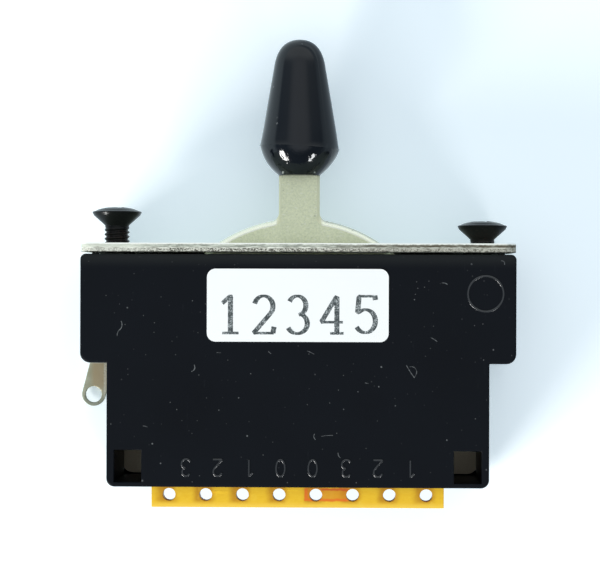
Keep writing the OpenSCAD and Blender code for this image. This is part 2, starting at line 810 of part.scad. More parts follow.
mounting_frame();
ground_lug();
lug_rivet();
pivot_stud();
rear_washer();
front_washer();
retaining_clip();
lever();
lever_tip();
contact_carrier();
left_wiper();
right_wiper();
detent_spring();
detent_ball();
housing();
contact_board();
left_tracks();
right_tracks();
label();
left_screw();
right_screw();
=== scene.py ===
"""Looks of the lever selector switch: fine surfaces, finishes, paper, lamps and camera round the frame.

Metres throughout, in the part's own frame: X along the mounting plate, Y from the labelled front to the
back plate and Z up along the lever. The origin is the centre of the mounting plate's top face.
"""
import json
import math

import bmesh
import bpy
import numpy as np
from mathutils import Matrix, Vector

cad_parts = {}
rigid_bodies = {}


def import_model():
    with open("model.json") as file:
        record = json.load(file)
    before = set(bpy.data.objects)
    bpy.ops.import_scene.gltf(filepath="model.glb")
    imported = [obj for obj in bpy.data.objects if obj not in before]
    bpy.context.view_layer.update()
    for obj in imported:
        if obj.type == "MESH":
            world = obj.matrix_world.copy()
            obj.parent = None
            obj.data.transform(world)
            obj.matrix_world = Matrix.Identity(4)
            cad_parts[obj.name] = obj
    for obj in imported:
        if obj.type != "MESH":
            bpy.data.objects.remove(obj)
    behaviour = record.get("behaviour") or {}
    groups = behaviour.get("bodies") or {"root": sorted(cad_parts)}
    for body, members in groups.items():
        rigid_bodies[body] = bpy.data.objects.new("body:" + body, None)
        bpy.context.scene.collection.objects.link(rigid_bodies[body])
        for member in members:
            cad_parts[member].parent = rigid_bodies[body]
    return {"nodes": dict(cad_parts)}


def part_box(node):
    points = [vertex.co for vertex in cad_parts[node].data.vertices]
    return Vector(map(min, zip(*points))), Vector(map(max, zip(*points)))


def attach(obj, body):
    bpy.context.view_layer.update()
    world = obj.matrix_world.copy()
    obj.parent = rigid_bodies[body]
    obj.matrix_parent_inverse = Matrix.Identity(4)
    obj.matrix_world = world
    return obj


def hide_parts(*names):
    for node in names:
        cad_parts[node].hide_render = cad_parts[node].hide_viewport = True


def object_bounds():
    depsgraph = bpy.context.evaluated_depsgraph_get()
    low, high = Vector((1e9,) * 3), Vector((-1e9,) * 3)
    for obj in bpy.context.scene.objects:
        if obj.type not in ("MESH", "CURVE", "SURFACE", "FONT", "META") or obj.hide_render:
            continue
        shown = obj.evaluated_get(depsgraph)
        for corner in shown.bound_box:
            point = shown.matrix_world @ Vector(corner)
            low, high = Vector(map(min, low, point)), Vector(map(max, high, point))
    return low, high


MM = 0.001
PICTURE_W = 600
SENSOR_MM = 36
# Points nearer to each other than this are one
MERGE_DISTANCE = 1e-7

for leftover in list(bpy.data.objects):
    bpy.data.objects.remove(leftover)
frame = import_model()
cad_box = [list(corner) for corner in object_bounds()]
scene = bpy.context.scene
scene.view_settings.view_transform = "Standard"

# Sizes of the part that the fine surfaces share with its solids
FRONT_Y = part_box("label")[1].y
PIVOT_Z = -13.5 * MM
SHOULDER_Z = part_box("lever_tip")[0].z
TIP_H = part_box("lever_tip")[1].z - SHOULDER_Z
# Lever, in millimetres
SHOULDER_REACH = SHOULDER_Z / MM - PIVOT_Z / MM
LEVER_HALF_T = 0.6
ARC_R = 16.4
ARC_HALF_DEG = 67.6
BLADE_HALF = 2.325
BLADE_FILLET = 0.9
TANG_HALF = 1.7
TANG_LEN = 9.0
HUB_R = 5.2
BORE_R = 2.45
TAIL_HALF = 3.1
TAIL_HOLE_AT = 8.6
TAIL_HOLE_R = 1.78
# Distance between the board's solder holes, in millimetres
TERMINAL_PITCH = 4.07
# Lever tip, in millimetres
TIP_FOOT_R = 2.45
TIP_BELLY_R = 4.45
TIP_BELLY_H = 3.2
TIP_DOME_R = 2.84
TIP_DOME_H = 2.7


def paint(red, green, blue):
    """Colour as it looks on a screen, 0 to 255, turned into the linear values that sockets take."""
    seen = np.array([red, green, blue]) / 255
    linear = np.where(seen <= 0.04045, seen / 12.92, ((seen + 0.055) / 1.055) ** 2.4)
    return (*linear.tolist(), 1.0)


# Shader maths

class Value:
    """A shader socket. Arithmetic on it adds Math nodes."""

    def __init__(self, nodes, socket):
        self.nodes = nodes
        self.socket = socket

    def math(self, operation, *terms):
        return self.nodes.add("ShaderNodeMath", {"operation": operation}, terms)

    def __add__(self, other):
        return self.math("ADD", self, other)

    def __radd__(self, other):
        return self.math("ADD", other, self)

    def __sub__(self, other):
        return self.math("SUBTRACT", self, other)

    def __rsub__(self, other):
        return self.math("SUBTRACT", other, self)

    def __mul__(self, other):
        return self.math("MULTIPLY", self, other)

    def __rmul__(self, other):
        return self.math("MULTIPLY", other, self)

    def __truediv__(self, other):
        return self.math("DIVIDE", self, other)

    def __rtruediv__(self, other):
        return self.math("DIVIDE", other, self)

    def __pow__(self, other):
        return self.math("POWER", self, other)

    def __lt__(self, other):
        return self.math("LESS_THAN", self, other)

    def __gt__(self, other):
        return self.math("GREATER_THAN", self, other)

    def __abs__(self):
        return self.math("ABSOLUTE", self)

    def share(self):
        """What is left over the whole number below."""
        return self.math("FRACT", self)

    def least(self, other):
        return self.math("MINIMUM", self, other)

    def most(self, other):
        return self.math("MAXIMUM", self, other)

    def ramp(self, low, high, start=0.0, end=1.0):
        """Smooth step from `start` at `low` to `end` at `high`."""
        return self.nodes.add("ShaderNodeMapRange", {"interpolation_type": "SMOOTHSTEP"},
                              {"Value": self, "From Min": low, "From Max": high,
                               "To Min": start, "To Max": end})


class Nodes:
    """A node tree with one way to add any node."""

    def __init__(self, tree):
        self.tree = tree

    def add(self, kind, settings=None, sockets=(), out=0):
        """Adds a node: its settings first, then the values or links of its sockets; gives one output."""
        made = self.tree.nodes.new(kind)
        for key, value in (settings or {}).items():
            setattr(made, key, value)
        pairs = sockets.items() if isinstance(sockets, dict) else enumerate(sockets)
        for key, value in pairs:
            if isinstance(value, Value):
                self.tree.links.new(value.socket, made.inputs[key])
            else:
                made.inputs[key].default_value = value
        return Value(self, made.outputs[out])

    def mix(self, amount, low, high):
        """Colour between `low` and `high` by `amount`. The node's colour sockets have these numbers."""
        return self.add("ShaderNodeMix", {"data_type": "RGBA"}, {0: amount, 6: low, 7: high}, out=2)

    def split(self, vector):
        """The three parts of a vector."""
        return [self.add("ShaderNodeSeparateXYZ", None, [vector], out=axis) for axis in "XYZ"]

    def stretch(self, vector, factors):
        """A vector with each part multiplied by its own factor."""
        return self.add("ShaderNodeVectorMath", {"operation": "MULTIPLY"}, [vector, factors])

    def noise(self, vector, size, detail=3.0, rough=0.55):
        """Cloudy pattern from 0 to 1 whose blotches are about `size` metres wide."""
        return self.add("ShaderNodeTexNoise", None,
                        {"Vector": vector, "Scale": 1 / size, "Detail": detail, "Roughness": rough})

    def specks(self, vector, size, radius, share):
        """Dots of up to `radius`, one at most in each cell of `size` metres, in a `share` of the cells."""
        cell = {"Vector": vector, "Scale": 1 / size}
        distance = self.add("ShaderNodeTexVoronoi", None, cell, out="Distance")
        chance = self.split(self.add("ShaderNodeTexVoronoi", None, cell, out="Color"))
        reach = chance[1] * (radius / size)
        core = ((1 - distance / reach) * 2.0).most(0.0).least(1.0)
        return core * (chance[0] < share) * (chance[2] * chance[2] * 0.85 + 0.15)

    def bump(self, height, strength, depth):
        """Normal from a height pattern of `depth` metres."""
        return self.add("ShaderNodeBump", None, {"Strength": strength, "Distance": depth, "Height": height})


class Finish(Nodes):
    """A material: what stays the same is set on the skin's sockets, what varies is linked to them."""

    def __init__(self, name, **constants):
        self.material = bpy.data.materials.new(name)
        self.material.use_nodes = True
        super().__init__(self.material.node_tree)
        self.skin = self.tree.nodes["Principled BSDF"]
        for key, value in constants.items():
            self.skin.inputs[key.replace("_", " ")].default_value = value
        self.place = self.add("ShaderNodeTexCoord", None, (), out="Object")
        self.x, self.y, self.z = self.split(self.place)

    def feed(self, **links):
        """Links values to the skin's sockets."""
        for key, value in links.items():
            self.tree.links.new(value.socket, self.skin.inputs[key.replace("_", " ")])
        return self.material


# Finishes

def stroke(finish, start, end, bow, half_w):
    """Mask of a thin mark on the front face from `start` to `end` in X and Z, bowed like a parabola.

    A point's share t along the mark is clamped to 0..1, the mark's middle line there is the chord plus
    bow * 4t(1 - t) across it, and the mask fades out just short of `half_w` from that line.
    """
    start, end = np.array(start) * MM, np.array(end) * MM
    along = end - start
    length = float(np.hypot(*along))
    along = along / length
    dx, dz = finish.x - float(start[0]), finish.z - float(start[1])
    run = dx * float(along[0]) + dz * float(along[1])
    side = dz * float(along[0]) - dx * float(along[1])
    share = (run / length).most(0.0).least(1.0)
    off_side = side - share * (1 - share) * (4 * bow * MM)
    off_end = run - share * length
    distance = (off_side * off_side + off_end * off_end) ** 0.5
    return distance.ramp(0.85 * half_w * MM, 0.3 * half_w * MM)


def dot(finish, at, radius):
    """Mask of a round spot on the front face at a place in X and Z, fading out towards its radius."""
    dx, dz = finish.x - at[0] * MM, finish.z - at[1] * MM
    return ((dx * dx + dz * dz) ** 0.5).ramp(radius * MM, 0.3 * radius * MM)


# Lint and scratches on the housing's front: start and end in X and Z, bow and half width, in millimetres
LINT = [
    ((-19.5, -8.7), (-19.62, -9.6), 0.14, 0.08), ((-19.6, -9.55), (-19.95, -10.3), -0.1, 0.07),
    ((-11.4, -13.5), (-11.68, -14.2), 0.18, 0.09), ((-8.9, -12.12), (-8.5, -12.15), 0.02, 0.07),
    ((-3.2, -12.0), (-2.95, -12.2), 0.0, 0.06), ((1.05, -11.9), (1.8, -12.25), 0.03, 0.05),
    ((15.9, -4.35), (16.45, -4.5), 0.05, 0.08), ((22.4, -1.9), (22.75, -2.3), 0.14, 0.07),
    ((14.7, -10.4), (15.35, -10.8), 0.03, 0.06), ((12.0, -13.45), (12.87, -14.8), -0.03, 0.07),
    ((12.4, -13.6), (13.12, -14.1), 0.2, 0.06), ((13.13, -14.1), (12.87, -14.75), 0.06, 0.06),
    ((-17.05, -20.25), (-16.6, -20.35), 0.02, 0.07), ((7.5, -15.4), (7.8, -15.45), 0.0, 0.08),
    ((1.9, -21.05), (1.98, -21.65), -0.12, 0.07), ((2.65, -21.3), (3.9, -21.2), 0.03, 0.04),
    ((4.5, -23.15), (4.74, -23.65), -0.08, 0.08),
]
# Larger grains of dust there: place in X and Z, and radius, in millimetres
GRAINS = [
    ((-18.83, -7.18), 0.13), ((19.13, -2.28), 0.13), ((21.54, -11.7), 0.13), ((12.86, -6.2), 0.1),
    ((9.24, -13.63), 0.14), ((1.92, -14.49), 0.11), ((8.96, -15.81), 0.11), ((6.68, -16.38), 0.1),
    ((-16.02, -22.2), 0.13), ((-5.54, -21.3), 0.13), ((-8.67, -18.46), 0.1), ((-6.49, -17.1), 0.1),
    ((-15.1, -24.36), 0.12), ((16.47, -21.66), 0.12), ((20.8, -24.9), 0.11), ((-17.1, -26.3), 0.15),
    ((5.1, -18.32), 0.1), ((10.79, -17.9), 0.11),
]


def black_relief():
    """The housing's black plastic on raised figures, rubbed to a shine."""
    f = Finish("black_relief", Specular_IOR_Level=0.8)
    cloud = f.noise(f.place, 0.6 * MM)
    base = f.mix(cloud, paint(6, 9, 14), paint(18, 21, 26))
    return f.feed(Base_Color=base, Roughness=0.13 + cloud * 0.16)


def black_moulding():
    """Half-gloss black moulding with dust, lint and faint scuffs, and a faint painted light band along its
    top.
    """
    f = Finish("black_moulding", Specular_IOR_Level=0.12)
    cloud = f.noise(f.place, 9 * MM)
    grain = f.noise(f.place, 0.16 * MM, 2.0)
    scuffs = f.noise(f.stretch(f.place, (1.0, 1.0, 0.12)), 0.5 * MM, 4.0, 0.7).ramp(0.62, 0.78)
    dust = f.specks(f.place, 0.8 * MM, 0.16 * MM, 0.7)
    dust = dust.most(f.specks(f.place, 2.3 * MM, 0.26 * MM, 0.6))
    front = f.y < FRONT_Y + 0.03 * MM
    lint = stroke(f, *LINT[0])
    for mark in LINT[1:]:
        lint = lint.most(stroke(f, *mark))
    for grain_of_dust in GRAINS:
        lint = lint.most(dot(f, *grain_of_dust))
    lint = lint * front * f.noise(f.place, 0.3 * MM).ramp(0.35, 0.62, 0.2, 0.75)
    base = f.mix(cloud, paint(5, 8, 14), paint(10, 15, 22))
    base = f.mix(scuffs * 0.08, base, paint(80, 84, 90))
    # Painted light: a faint lighter band along the top of the front
    base = f.mix(f.z.ramp(-2.9 * MM, -1.5 * MM) * 0.035, base, paint(140, 144, 132))
    base = f.mix(dust * 0.27, base, paint(170, 172, 170))
    base = f.mix(lint, base, paint(122, 125, 126))
    rough = 0.34 + cloud * 0.1 + scuffs * 0.1 + dust * 0.3
    return f.feed(Base_Color=base, Roughness=rough, Normal=f.bump(grain + cloud * 6, 0.12, 0.03 * MM))


def gloss_tip():
    """Polished black moulding with a little dust; its bowl is finely pebbled, with two painted highlights
    beside the blade.
    """
    f = Finish("gloss_tip", Specular_IOR_Level=0.45)
    height = f.z - SHOULDER_Z
    cloud = f.noise(f.place, 4 * MM)
    dust = f.specks(f.place, 1.5 * MM, 0.18 * MM, 0.4)
    # Two painted highlights: small bright dots beside the blade, just above the foot
    painted_glint_z = SHOULDER_Z / MM + 0.3
    left_painted_glint, right_painted_glint = dot(f, (-1.8, painted_glint_z), 0.17), dot(f, (1.75, painted_glint_z), 0.14)
    painted_glints = left_painted_glint.most(right_painted_glint * 0.7) * (f.y < 0.0)
    bowl = height.ramp(3.6 * MM, 2.7 * MM)
    base = f.mix(cloud, paint(6, 10, 16), paint(12, 17, 24))
    base = f.mix(dust * 0.35, base, paint(140, 142, 144))
    # Painted highlights mixed in as near-white dots
    base = f.mix(painted_glints * 0.6, base, paint(226, 230, 222))
    pebble = f.noise(f.place, 0.34 * MM, 1.0) * bowl
    return f.feed(Base_Color=base, Roughness=0.07 + cloud * 0.05 + dust * 0.3,
                  Normal=f.bump(pebble, 0.5, 0.04 * MM))


def nickel(name, face, worn, metal, mark, rough):
    """Dull nickel plate with a warm cloudy cast, fine grain, and pits and scratches by `mark`.

    `metal` is how metallic it is on the lever's arc and on its blade, which is painted near-white cream where
    it is less metallic, a painted highlight on the rim; `rough` is how dull it is at most, pits apart.
    """
    f = Finish(name, Specular_IOR_Level=0.5)
    cloud = f.noise(f.place, 5 * MM)
    fine = f.noise(f.place, 0.22 * MM, 4.0, 0.65)
    pits = f.specks(f.place, 0.8 * MM, 0.26 * MM, 0.8)
    scratch = f.noise(f.stretch(f.place, (0.4, 1.0, 1.0)), 0.2 * MM, 2.0, 0.6)
    base = f.mix(fine.ramp(0.3, 0.7), worn, face)
    base = f.mix(scratch.ramp(0.42, 0.28) * mark * 0.4, base, paint(170, 172, 146))
    base = f.mix(cloud * 0.2, base, paint(206, 212, 180))
    base = f.mix(pits * mark, base, paint(96, 96, 78))
    base = f.mix(scratch.ramp(0.56, 0.7) * mark * 0.6, base, paint(254, 254, 240))
    rough = rough - cloud * 0.1 + pits * 0.15
    # Painted highlight: on the rim's blade part the nickel turns near-white cream and barely metallic
    blade = abs(f.x).ramp(2.7 * MM, 2.35 * MM)
    base = f.mix(blade * (metal[0] - metal[1]), base, paint(255, 252, 208))
    metallic = metal[0] - blade * (metal[0] - metal[1]) - pits * 0.2
    return f.feed(Base_Color=base, Metallic=metallic, Roughness=rough,
                  Normal=f.bump(fine - pits, 0.3, 0.02 * MM))


def sheared_nickel():
    """Nickel-plated sheet whose sheared edges show four bands down their height.

    A rolled lip with a painted highlight, a burnished band streaked along the sheet and turned brown to the
    right by painted shade, a painted highlight line where the cut turns, and a torn band of light and dark
    grit with a painted shadow below it at the burr. Painted shade darkens the bands to the right and painted
    light brightens them at the far left. The back plate's inner face is a little brown.
    """
    f = Finish("plated_sheet", Specular_IOR_Level=0.5)
    cloud = f.noise(f.place, 5 * MM)
    fine = f.noise(f.place, 0.2 * MM, 4.0, 0.65)
    streak = f.noise(f.stretch(f.place, (0.14, 0.14, 1.0)), 0.13 * MM, 3.0, 0.65)
    ragged = f.noise(f.stretch(f.place, (1.0, 1.0, 0.0)), 0.5 * MM, 3.0, 0.6)
    grit = f.noise(f.stretch(f.place, (0.7, 0.7, 1.0)), 0.13 * MM, 2.0, 0.6)
    pits = f.specks(f.place, 0.8 * MM, 0.24 * MM, 0.7)
    face = f.mix(fine.ramp(0.3, 0.7), paint(176, 184, 164), paint(208, 214, 196))
    face = f.mix(pits * 0.6, face, paint(112, 112, 92))
    height = f.z + (ragged - 0.5) * (0.22 * MM) + (cloud - 0.5) * (0.12 * MM)
    # Painted shade darkens the edge bands towards the right; painted light brightens them at the far left
    right = (f.x + (cloud - 0.5) * (9 * MM)).ramp(-2 * MM, 13 * MM)
    painted_light_left = f.x.ramp(-14 * MM, -19 * MM)
    burnished = f.mix(streak.ramp(0.35, 0.65), paint(138, 142, 130), paint(208, 212, 198))
    # Painted shade: the upper bands turn dark brown towards the right
    brown = right * streak.ramp(0.75, 0.4, 0.5, 1.0) * height.ramp(-0.16 * MM, -0.24 * MM)
    burnished = f.mix(brown, burnished, paint(84, 76, 60))
    burnished = f.mix(painted_light_left * 0.7, burnished, paint(224, 228, 212))
    torn = f.mix(grit.ramp(0.38, 0.6), paint(58, 55, 44), paint(212, 212, 198))
    torn = f.mix(fine.ramp(0.56, 0.68), torn, paint(250, 250, 238))
    torn = f.mix(right * 0.45, torn, paint(146, 142, 128))
    torn = f.mix(painted_light_left * 0.5, torn, paint(226, 228, 214))
    # Painted highlight: a bright line where the cut turns
    turn = f.mix(streak.ramp(0.35, 0.6) * (1 - right * 0.5), paint(150, 150, 136), paint(238, 240, 226))
    # Painted highlight on the rolled lip
    edge = f.mix(height.ramp(-0.1 * MM, -0.18 * MM), paint(246, 248, 240), burnished)
    edge = f.mix(height.ramp(-0.43 * MM, -0.48 * MM), edge, turn)
    edge = f.mix(height.ramp(-0.55 * MM, -0.62 * MM), edge, torn)
    # Painted shadow: a dark band at the burr, below the torn band
    edge = f.mix((height + grit * (0.16 * MM)).ramp(-0.8 * MM, -0.88 * MM), edge, paint(40, 40, 32))
    facing = f.split(f.add("ShaderNodeTexCoord", None, (), out="Normal"))
    on_edge = (abs(facing[2]) < 0.6) * (facing[1] < 0.3) * (f.z > -1.1 * MM)
    inside = (facing[1] < -0.9) * (f.y > 3 * MM)
    base = f.mix(inside * 0.8, f.mix(on_edge, face, edge), paint(196, 178, 150))
    rough = 0.42 + cloud * 0.1 + on_edge * 0.15
    relief = fine - pits + on_edge * grit * 3
    return f.feed(Base_Color=base, Metallic=0.3 - on_edge * 0.2, Roughness=rough,
                  Normal=f.bump(relief, 0.3, 0.03 * MM))


def tinned_brass():
    """Dull tin over brass: browner at its upper right by painted shade, greyer below, painted highlights
    along its inner edges.
    """
    f = Finish("tinned_tag", Specular_IOR_Level=0.5)
    cloud = f.noise(f.place, 1.6 * MM, 4.0)
    fine = f.noise(f.place, 0.2 * MM, 3.0)
    base = f.mix(cloud.ramp(0.35, 0.65), paint(166, 166, 140), paint(186, 188, 166))
    # Painted shade: brownish at the upper right, near the housing
    thin = (f.z + cloud * MM).ramp(-17.2 * MM, -15.4 * MM) * f.x.ramp(-24.6 * MM, -23.8 * MM)
    base = f.mix(thin * 0.7, base, paint(176, 154, 118))
    base = f.mix(f.z.ramp(-17.2 * MM, -18.4 * MM) * 0.6, base, paint(140, 148, 136))
    # Painted highlights along the tag's top and right inner edges
    inner = f.x.ramp(-22.86 * MM, -22.78 * MM).most(f.z.ramp(-13.86 * MM, -13.76 * MM))
    base = f.mix(inner * fine.ramp(0.35, 0.6, 0.3, 0.8), base, paint(206, 206, 190))
    base = f.mix(f.specks(f.place, 0.7 * MM, 0.2 * MM, 0.6) * 0.6, base, paint(88, 78, 60))
    return f.feed(Base_Color=base, Metallic=0.45 + cloud * 0.2, Roughness=0.4 + fine * 0.15,
                  Normal=f.bump(fine, 0.25, 0.02 * MM))


def turned_metal(name, light, dark, rough):
    """Turned or drawn metal: fine lines that run round Y and cloudy tarnish."""
    f = Finish(name, Specular_IOR_Level=0.5, Metallic=1.0)
    lines = f.noise(f.stretch(f.place, (0.2, 1.0, 0.2)), 0.1 * MM, 2.0)
    cloud = f.noise(f.place, 1.5 * MM)
    base = f.mix(cloud * 0.6 + lines * 0.4, dark, light)
    return f.feed(Base_Color=base, Roughness=rough + lines * 0.12, Normal=f.bump(lines, 0.15, 0.01 * MM))


def plain_nylon():
    """Natural nylon with a soft cloudy cast and a matt grain."""
    f = Finish("nylon", Specular_IOR_Level=0.45, Subsurface_Weight=0.1)
    cloud = f.noise(f.place, 3 * MM)
    grain = f.noise(f.place, 0.12 * MM, 2.0)
    base = f.mix(cloud, paint(226, 220, 200), paint(240, 238, 226))
    return f.feed(Base_Color=base, Roughness=0.45 + grain * 0.15, Normal=f.bump(grain, 0.1, 0.02 * MM))


def amber_laminate():
    """Amber board: darker columns where the copper lies behind it, a paper grain and an orange outline."""
    f = Finish("amber_laminate", Specular_IOR_Level=0.3)
    cloud = f.noise(f.place, 1.6 * MM)
    fibre = f.noise(f.stretch(f.place, (0.3, 1.0, 1.0)), 0.18 * MM, 3.0, 0.6)
    run = f.x / (TERMINAL_PITCH * MM) + (cloud - 0.5) * 0.25
    column = abs((run + 0.06).share() - 0.5) * 2.0
    land = column.ramp(0.75, 0.25) * f.z.ramp(-29.1 * MM, -28.4 * MM)
    base = f.mix(fibre, paint(238, 184, 26), paint(247, 203, 50))
    base = f.mix(land * 0.9, base, paint(196, 136, 16))
    base = f.mix(cloud.ramp(0.55, 0.75) * 0.35, base, paint(252, 218, 84))
    base = f.mix(f.z.ramp(-28.6 * MM, -29.2 * MM) * 0.55, base, paint(254, 212, 88))
    waver = (f.noise(f.place, 0.7 * MM) - 0.5) * (0.3 * MM)
    from_left = f.x - 0.72 * MM + waver
    from_top = -27.1 * MM - f.z + waver
    band = from_left.ramp(0.0, 0.1 * MM) * from_left.ramp(5.2 * MM, 4.6 * MM)
    band = band * from_top.ramp(0.0, 0.08 * MM) * from_top.ramp(1.55 * MM, 1.4 * MM) * (f.y < -4.85 * MM)
    left_side = from_left.ramp(0.5 * MM, 0.3 * MM)
    top_side = from_top.ramp(0.36 * MM, 0.22 * MM) * from_left.ramp(1.7 * MM, 2.2 * MM)
    low_side = from_top.ramp(1.1 * MM, 1.25 * MM)
    outline = left_side.most(top_side * 0.9).most(low_side)
    base = f.mix(band * 0.6, base, paint(222, 132, 22))
    base = f.mix(band * outline * 0.8, base, paint(236, 112, 30))
    base = f.mix(band * top_side * 0.5, base, paint(196, 82, 30))
    return f.feed(Base_Color=base, Roughness=0.3 + fibre * 0.12, Normal=f.bump(fibre, 0.12, 0.02 * MM))


def tinned_copper():
    """Copper tracks, tinned bright over the solder lands near the board's lower edge."""
    f = Finish("tinned_copper", Specular_IOR_Level=0.5, Metallic=1.0)
    cloud = f.noise(f.place, 1.2 * MM)
    tin = (f.z + cloud * (1.5 * MM)).ramp(-25.6 * MM, -26.3 * MM)
    copper = f.mix(cloud, paint(196, 118, 72), paint(226, 150, 100))
    base = f.mix(tin, copper, paint(206, 208, 204))
    return f.feed(Base_Color=base, Roughness=0.28 + cloud * 0.15,
                  Normal=f.bump(cloud, 0.25, 0.04 * MM))


def white_film():
    """White label film with a faint mottle."""
    f = Finish("label_film", Specular_IOR_Level=0.35)
    cloud = f.noise(f.place, 3 * MM)
    grain = f.noise(f.place, 0.1 * MM, 2.0)
    base = f.mix(cloud, paint(250, 252, 250), paint(254, 254, 252))
    return f.feed(Base_Color=base, Roughness=0.45 + grain * 0.1, Normal=f.bump(grain, 0.04, 0.01 * MM))


def ribbon_ink():
    """Grey ribbon print, broken up by the film's pale grain."""
    f = Finish("ribbon_ink", Specular_IOR_Level=0.2)
    fleck = f.noise(f.place, 0.13 * MM, 3.0, 0.65)
    patch = f.noise(f.place, 0.5 * MM)
    gaps = (fleck * 0.7 + patch * 0.3).ramp(0.5, 0.6)
    base = f.mix(patch, paint(58, 64, 66), paint(84, 92, 92))
    base = f.mix(gaps * 0.8, base, paint(214, 220, 220))
    return f.feed(Base_Color=base, Roughness=0.6 + gaps * 0.1)


def black_oxide():
    """Oiled black oxide, lightened low down in the thread by painted light, and a little brown there."""
    f = Finish("black_oxide", Specular_IOR_Level=0.2)
    cloud = f.noise(f.place, 1.2 * MM)
    fine = f.noise(f.place, 0.15 * MM, 3.0)
    low = (f.z - 0.2 * MM + cloud * MM).ramp(2.6 * MM, 1.2 * MM)
    base = f.mix(cloud, paint(9, 12, 12), paint(18, 20, 20))
    # Painted light: lighter grey low down, in the thread
    base = f.mix(low * 0.6, base, paint(42, 43, 42))
    base = f.mix(low * fine.ramp(0.45, 0.65) * 0.6, base, paint(56, 38, 34))
    return f.feed(Base_Color=base, Metallic=0.1 + cloud * 0.1, Roughness=0.17 + fine * 0.16,
                  Normal=f.bump(fine, 0.2, 0.015 * MM))


# Surfaces

def piece(name, mesh, body, finishes, replaced=(), sharp_deg=35, weighted=True):
    """Object at the origin around a finished mesh, shaded smooth except at sharp edges, riding on a body."""
    mesh.shade_smooth()
    mesh.set_sharp_from_angle(angle=math.radians(sharp_deg))
    made = bpy.data.objects.new(name, mesh)
    scene.collection.objects.link(made)
    for finish in finishes:
        mesh.materials.append(finish)
    if weighted:
        even = made.modifiers.new("even_shading", "WEIGHTED_NORMAL")
        even.keep_sharp = True
    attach(made, body)
    if replaced:
        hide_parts(*replaced)


def grid_mesh(name, points, ring_rows=False):
    """Mesh over a grid of points (rows, columns, 3), closed round its columns and, if asked, round its rows.

    Each quad joins a point, its right neighbour and the two above them. Rows that shrink to one point
    become fans when the doubles are merged.
    """
    rows, columns = points.shape[:2]
    row = np.arange(rows if ring_rows else rows - 1)[:, None]
    column = np.arange(columns)[None, :]
    above = (row + 1) % rows
    right = (column + 1) % columns
    corners = [row * columns + column, row * columns + right,
               above * columns + right, above * columns + column]
    faces = np.stack(np.broadcast_arrays(*corners), axis=-1).reshape(-1, 4)
    mesh = bpy.data.meshes.new(name)
    mesh.from_pydata(points.reshape(-1, 3), [], faces.tolist())
    work = bmesh.new()
    work.from_mesh(mesh)
    bmesh.ops.remove_doubles(work, verts=work.verts, dist=MERGE_DISTANCE)
    bmesh.ops.recalc_face_normals(work, faces=work.faces)
    work.to_mesh(mesh)
    work.free()
    return mesh


def merged_copy(node, width=0.0, where=None):
    """Mesh of a CAD node with doubles merged and flat regions joined.

    Edges over 40 degrees are rounded to `width`, all of them or those with both ends where `where` holds.
    """
    work = bmesh.new()
    work.from_mesh(frame["nodes"][node].data)
    bmesh.ops.remove_doubles(work, verts=work.verts, dist=MERGE_DISTANCE)
    bmesh.ops.dissolve_limit(work, angle_limit=0.004, verts=work.verts, edges=work.edges)
    if width:
        limit = math.radians(40)
        edges = [e for e in work.edges if e.is_manifold and e.calc_face_angle() > limit]
        edges = [e for e in edges if where is None or all(where(v.co) for v in e.verts)]
        bmesh.ops.bevel(work, geom=edges, offset=width, offset_type="OFFSET", segments=2, profile=0.5,
                        affect="EDGES", clamp_overlap=True, material=-1)
    mesh = bpy.data.meshes.new(node)
    work.to_mesh(mesh)
    work.free()
    mesh.materials.clear()
    return mesh


def mark_faces(mesh, chosen):
    """Gives the second finish to the faces whose middles are chosen, all at once."""
    centre = np.empty(3 * len(mesh.polygons))
    mesh.polygons.foreach_get("center", centre)
    mesh.polygons.foreach_set("material_index", chosen(centre.reshape(-1, 3)).astype(np.int32))


def bezier(p, q, r, count):
    """Quadratic curve (1 - t)^2 p + 2t(1 - t) q + t^2 r at `count` even steps of t."""
    t = np.linspace(0, 1, count)[:, None]
    return (1 - t) ** 2 * np.array(p) + 2 * t * (1 - t) * np.array(q) + t ** 2 * np.array(r)


def turned(radius, height, bearing):
    """Points at (radius cos b, radius sin b, height) for each row's radius and height and each bearing b."""
    return np.stack(np.broadcast_arrays(radius * np.cos(bearing), radius * np.sin(bearing), height), axis=-1)


